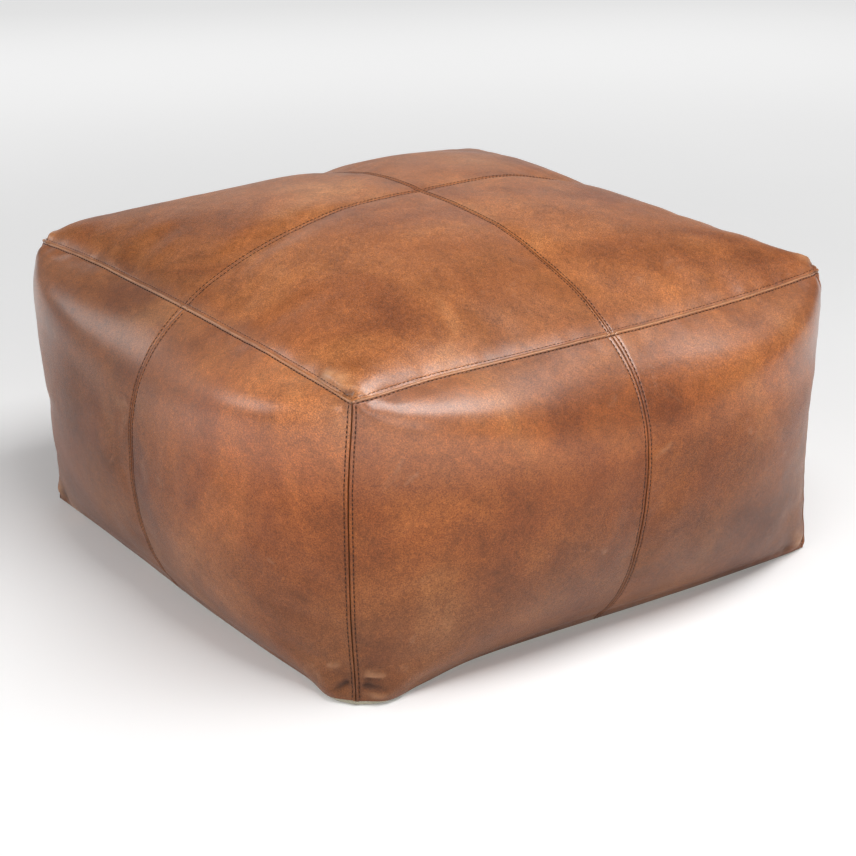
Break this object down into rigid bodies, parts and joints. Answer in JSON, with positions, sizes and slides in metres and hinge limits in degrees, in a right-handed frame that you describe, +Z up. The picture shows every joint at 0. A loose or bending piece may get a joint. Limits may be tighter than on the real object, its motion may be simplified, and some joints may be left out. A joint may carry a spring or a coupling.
{
  "type": "square leather floor pouf",
  "caption": "Low square floor pouf: a crowned, swollen leather cover with double topstitched seams over a zipped canvas base and a filled inner bag.",
  "frame": {"origin": "on the floor, under the middle of the pouf", "axes": "+Z up, X and Y along the sides of its square plan; the front side faces -Y and the zip runs along X"},
  "size_m": [0.8492, 0.8492, 0.4482],
  "materials": {
    "tan_leather": "waxed tan leather with a mottled patina, fine grain and a soft sheen",
    "brown_thread": "dark brown waxed polyester thread",
    "base_canvas": "unbleached grey olive cotton canvas, plain weave",
    "zip_tape": "woven brown polyester tape",
    "zip_coil": "brown nylon coil",
    "zip_metal": "antique brass plated zinc",
    "bag_cotton": "plain undyed calico",
    "cotton_filling": "packed cotton and foam filling"
  },
  "bodies": {
    "cover": {"top_panel_front_left": "tan_leather", "top_panel_front_right": "tan_leather", "top_panel_back_left": "tan_leather", "top_panel_back_right": "tan_leather", "front_panel_left": "tan_leather", "front_panel_right": "tan_leather", "right_panel_front": "tan_leather", "right_panel_back": "tan_leather", "back_panel_right": "tan_leather", "back_panel_left": "tan_leather", "left_panel_back": "tan_leather", "left_panel_front": "tan_leather", "top_long_seam_thread_left": "brown_thread", "top_cross_seam_thread_left_front": "brown_thread", "top_cross_seam_thread_left_back": "brown_thread", "top_long_seam_thread_right": "brown_thread", "top_cross_seam_thread_right_front": "brown_thread", "top_cross_seam_thread_right_back": "brown_thread", "top_edge_thread_front_upper": "brown_thread", "top_edge_thread_front_lower": "brown_thread", "top_edge_thread_right_upper": "brown_thread", "top_edge_thread_right_lower": "brown_thread", "top_edge_thread_back_upper": "brown_thread", "top_edge_thread_back_lower": "brown_thread", "top_edge_thread_left_upper": "brown_thread", "top_edge_thread_left_lower": "brown_thread", "front_seam_thread_first": "brown_thread", "front_seam_thread_second": "brown_thread", "front_corner_thread_first": "brown_thread", "front_corner_thread_second": "brown_thread", "right_seam_thread_first": "brown_thread", "right_seam_thread_second": "brown_thread", "right_corner_thread_first": "brown_thread", "right_corner_thread_second": "brown_thread", "back_seam_thread_first": "brown_thread", "back_seam_thread_second": "brown_thread", "back_corner_thread_first": "brown_thread", "back_corner_thread_second": "brown_thread", "left_seam_thread_first": "brown_thread", "left_seam_thread_second": "brown_thread", "left_corner_thread_first": "brown_thread", "left_corner_thread_second": "brown_thread", "zip_seam_thread_front": "brown_thread", "zip_seam_thread_back": "brown_thread", "base_panel_front": "base_canvas", "base_panel_back": "base_canvas", "zip_tape_front": "zip_tape", "zip_tape_back": "zip_tape", "zip_coil_front": "zip_coil", "zip_coil_back": "zip_coil", "zip_stop_left": "zip_metal", "zip_stop_right": "zip_metal", "inner_bag": "bag_cotton", "filling": "cotton_filling"},
    "slider": {"zip_slider": "zip_metal"},
    "pull": {"zip_pull": "zip_metal"}
  },
  "joints": [
    {"name": "zip_slide", "type": "slide", "parent": "cover", "child": "slider", "axis": [1, 0, 0], "range_m": [-0.52, 0]},
    {"name": "pull_swing", "type": "hinge", "parent": "slider", "child": "pull", "pos_m": [0.264, 0, 0.0026], "axis": [0, -1, 0], "range_deg": [0, 175]}
  ]
}
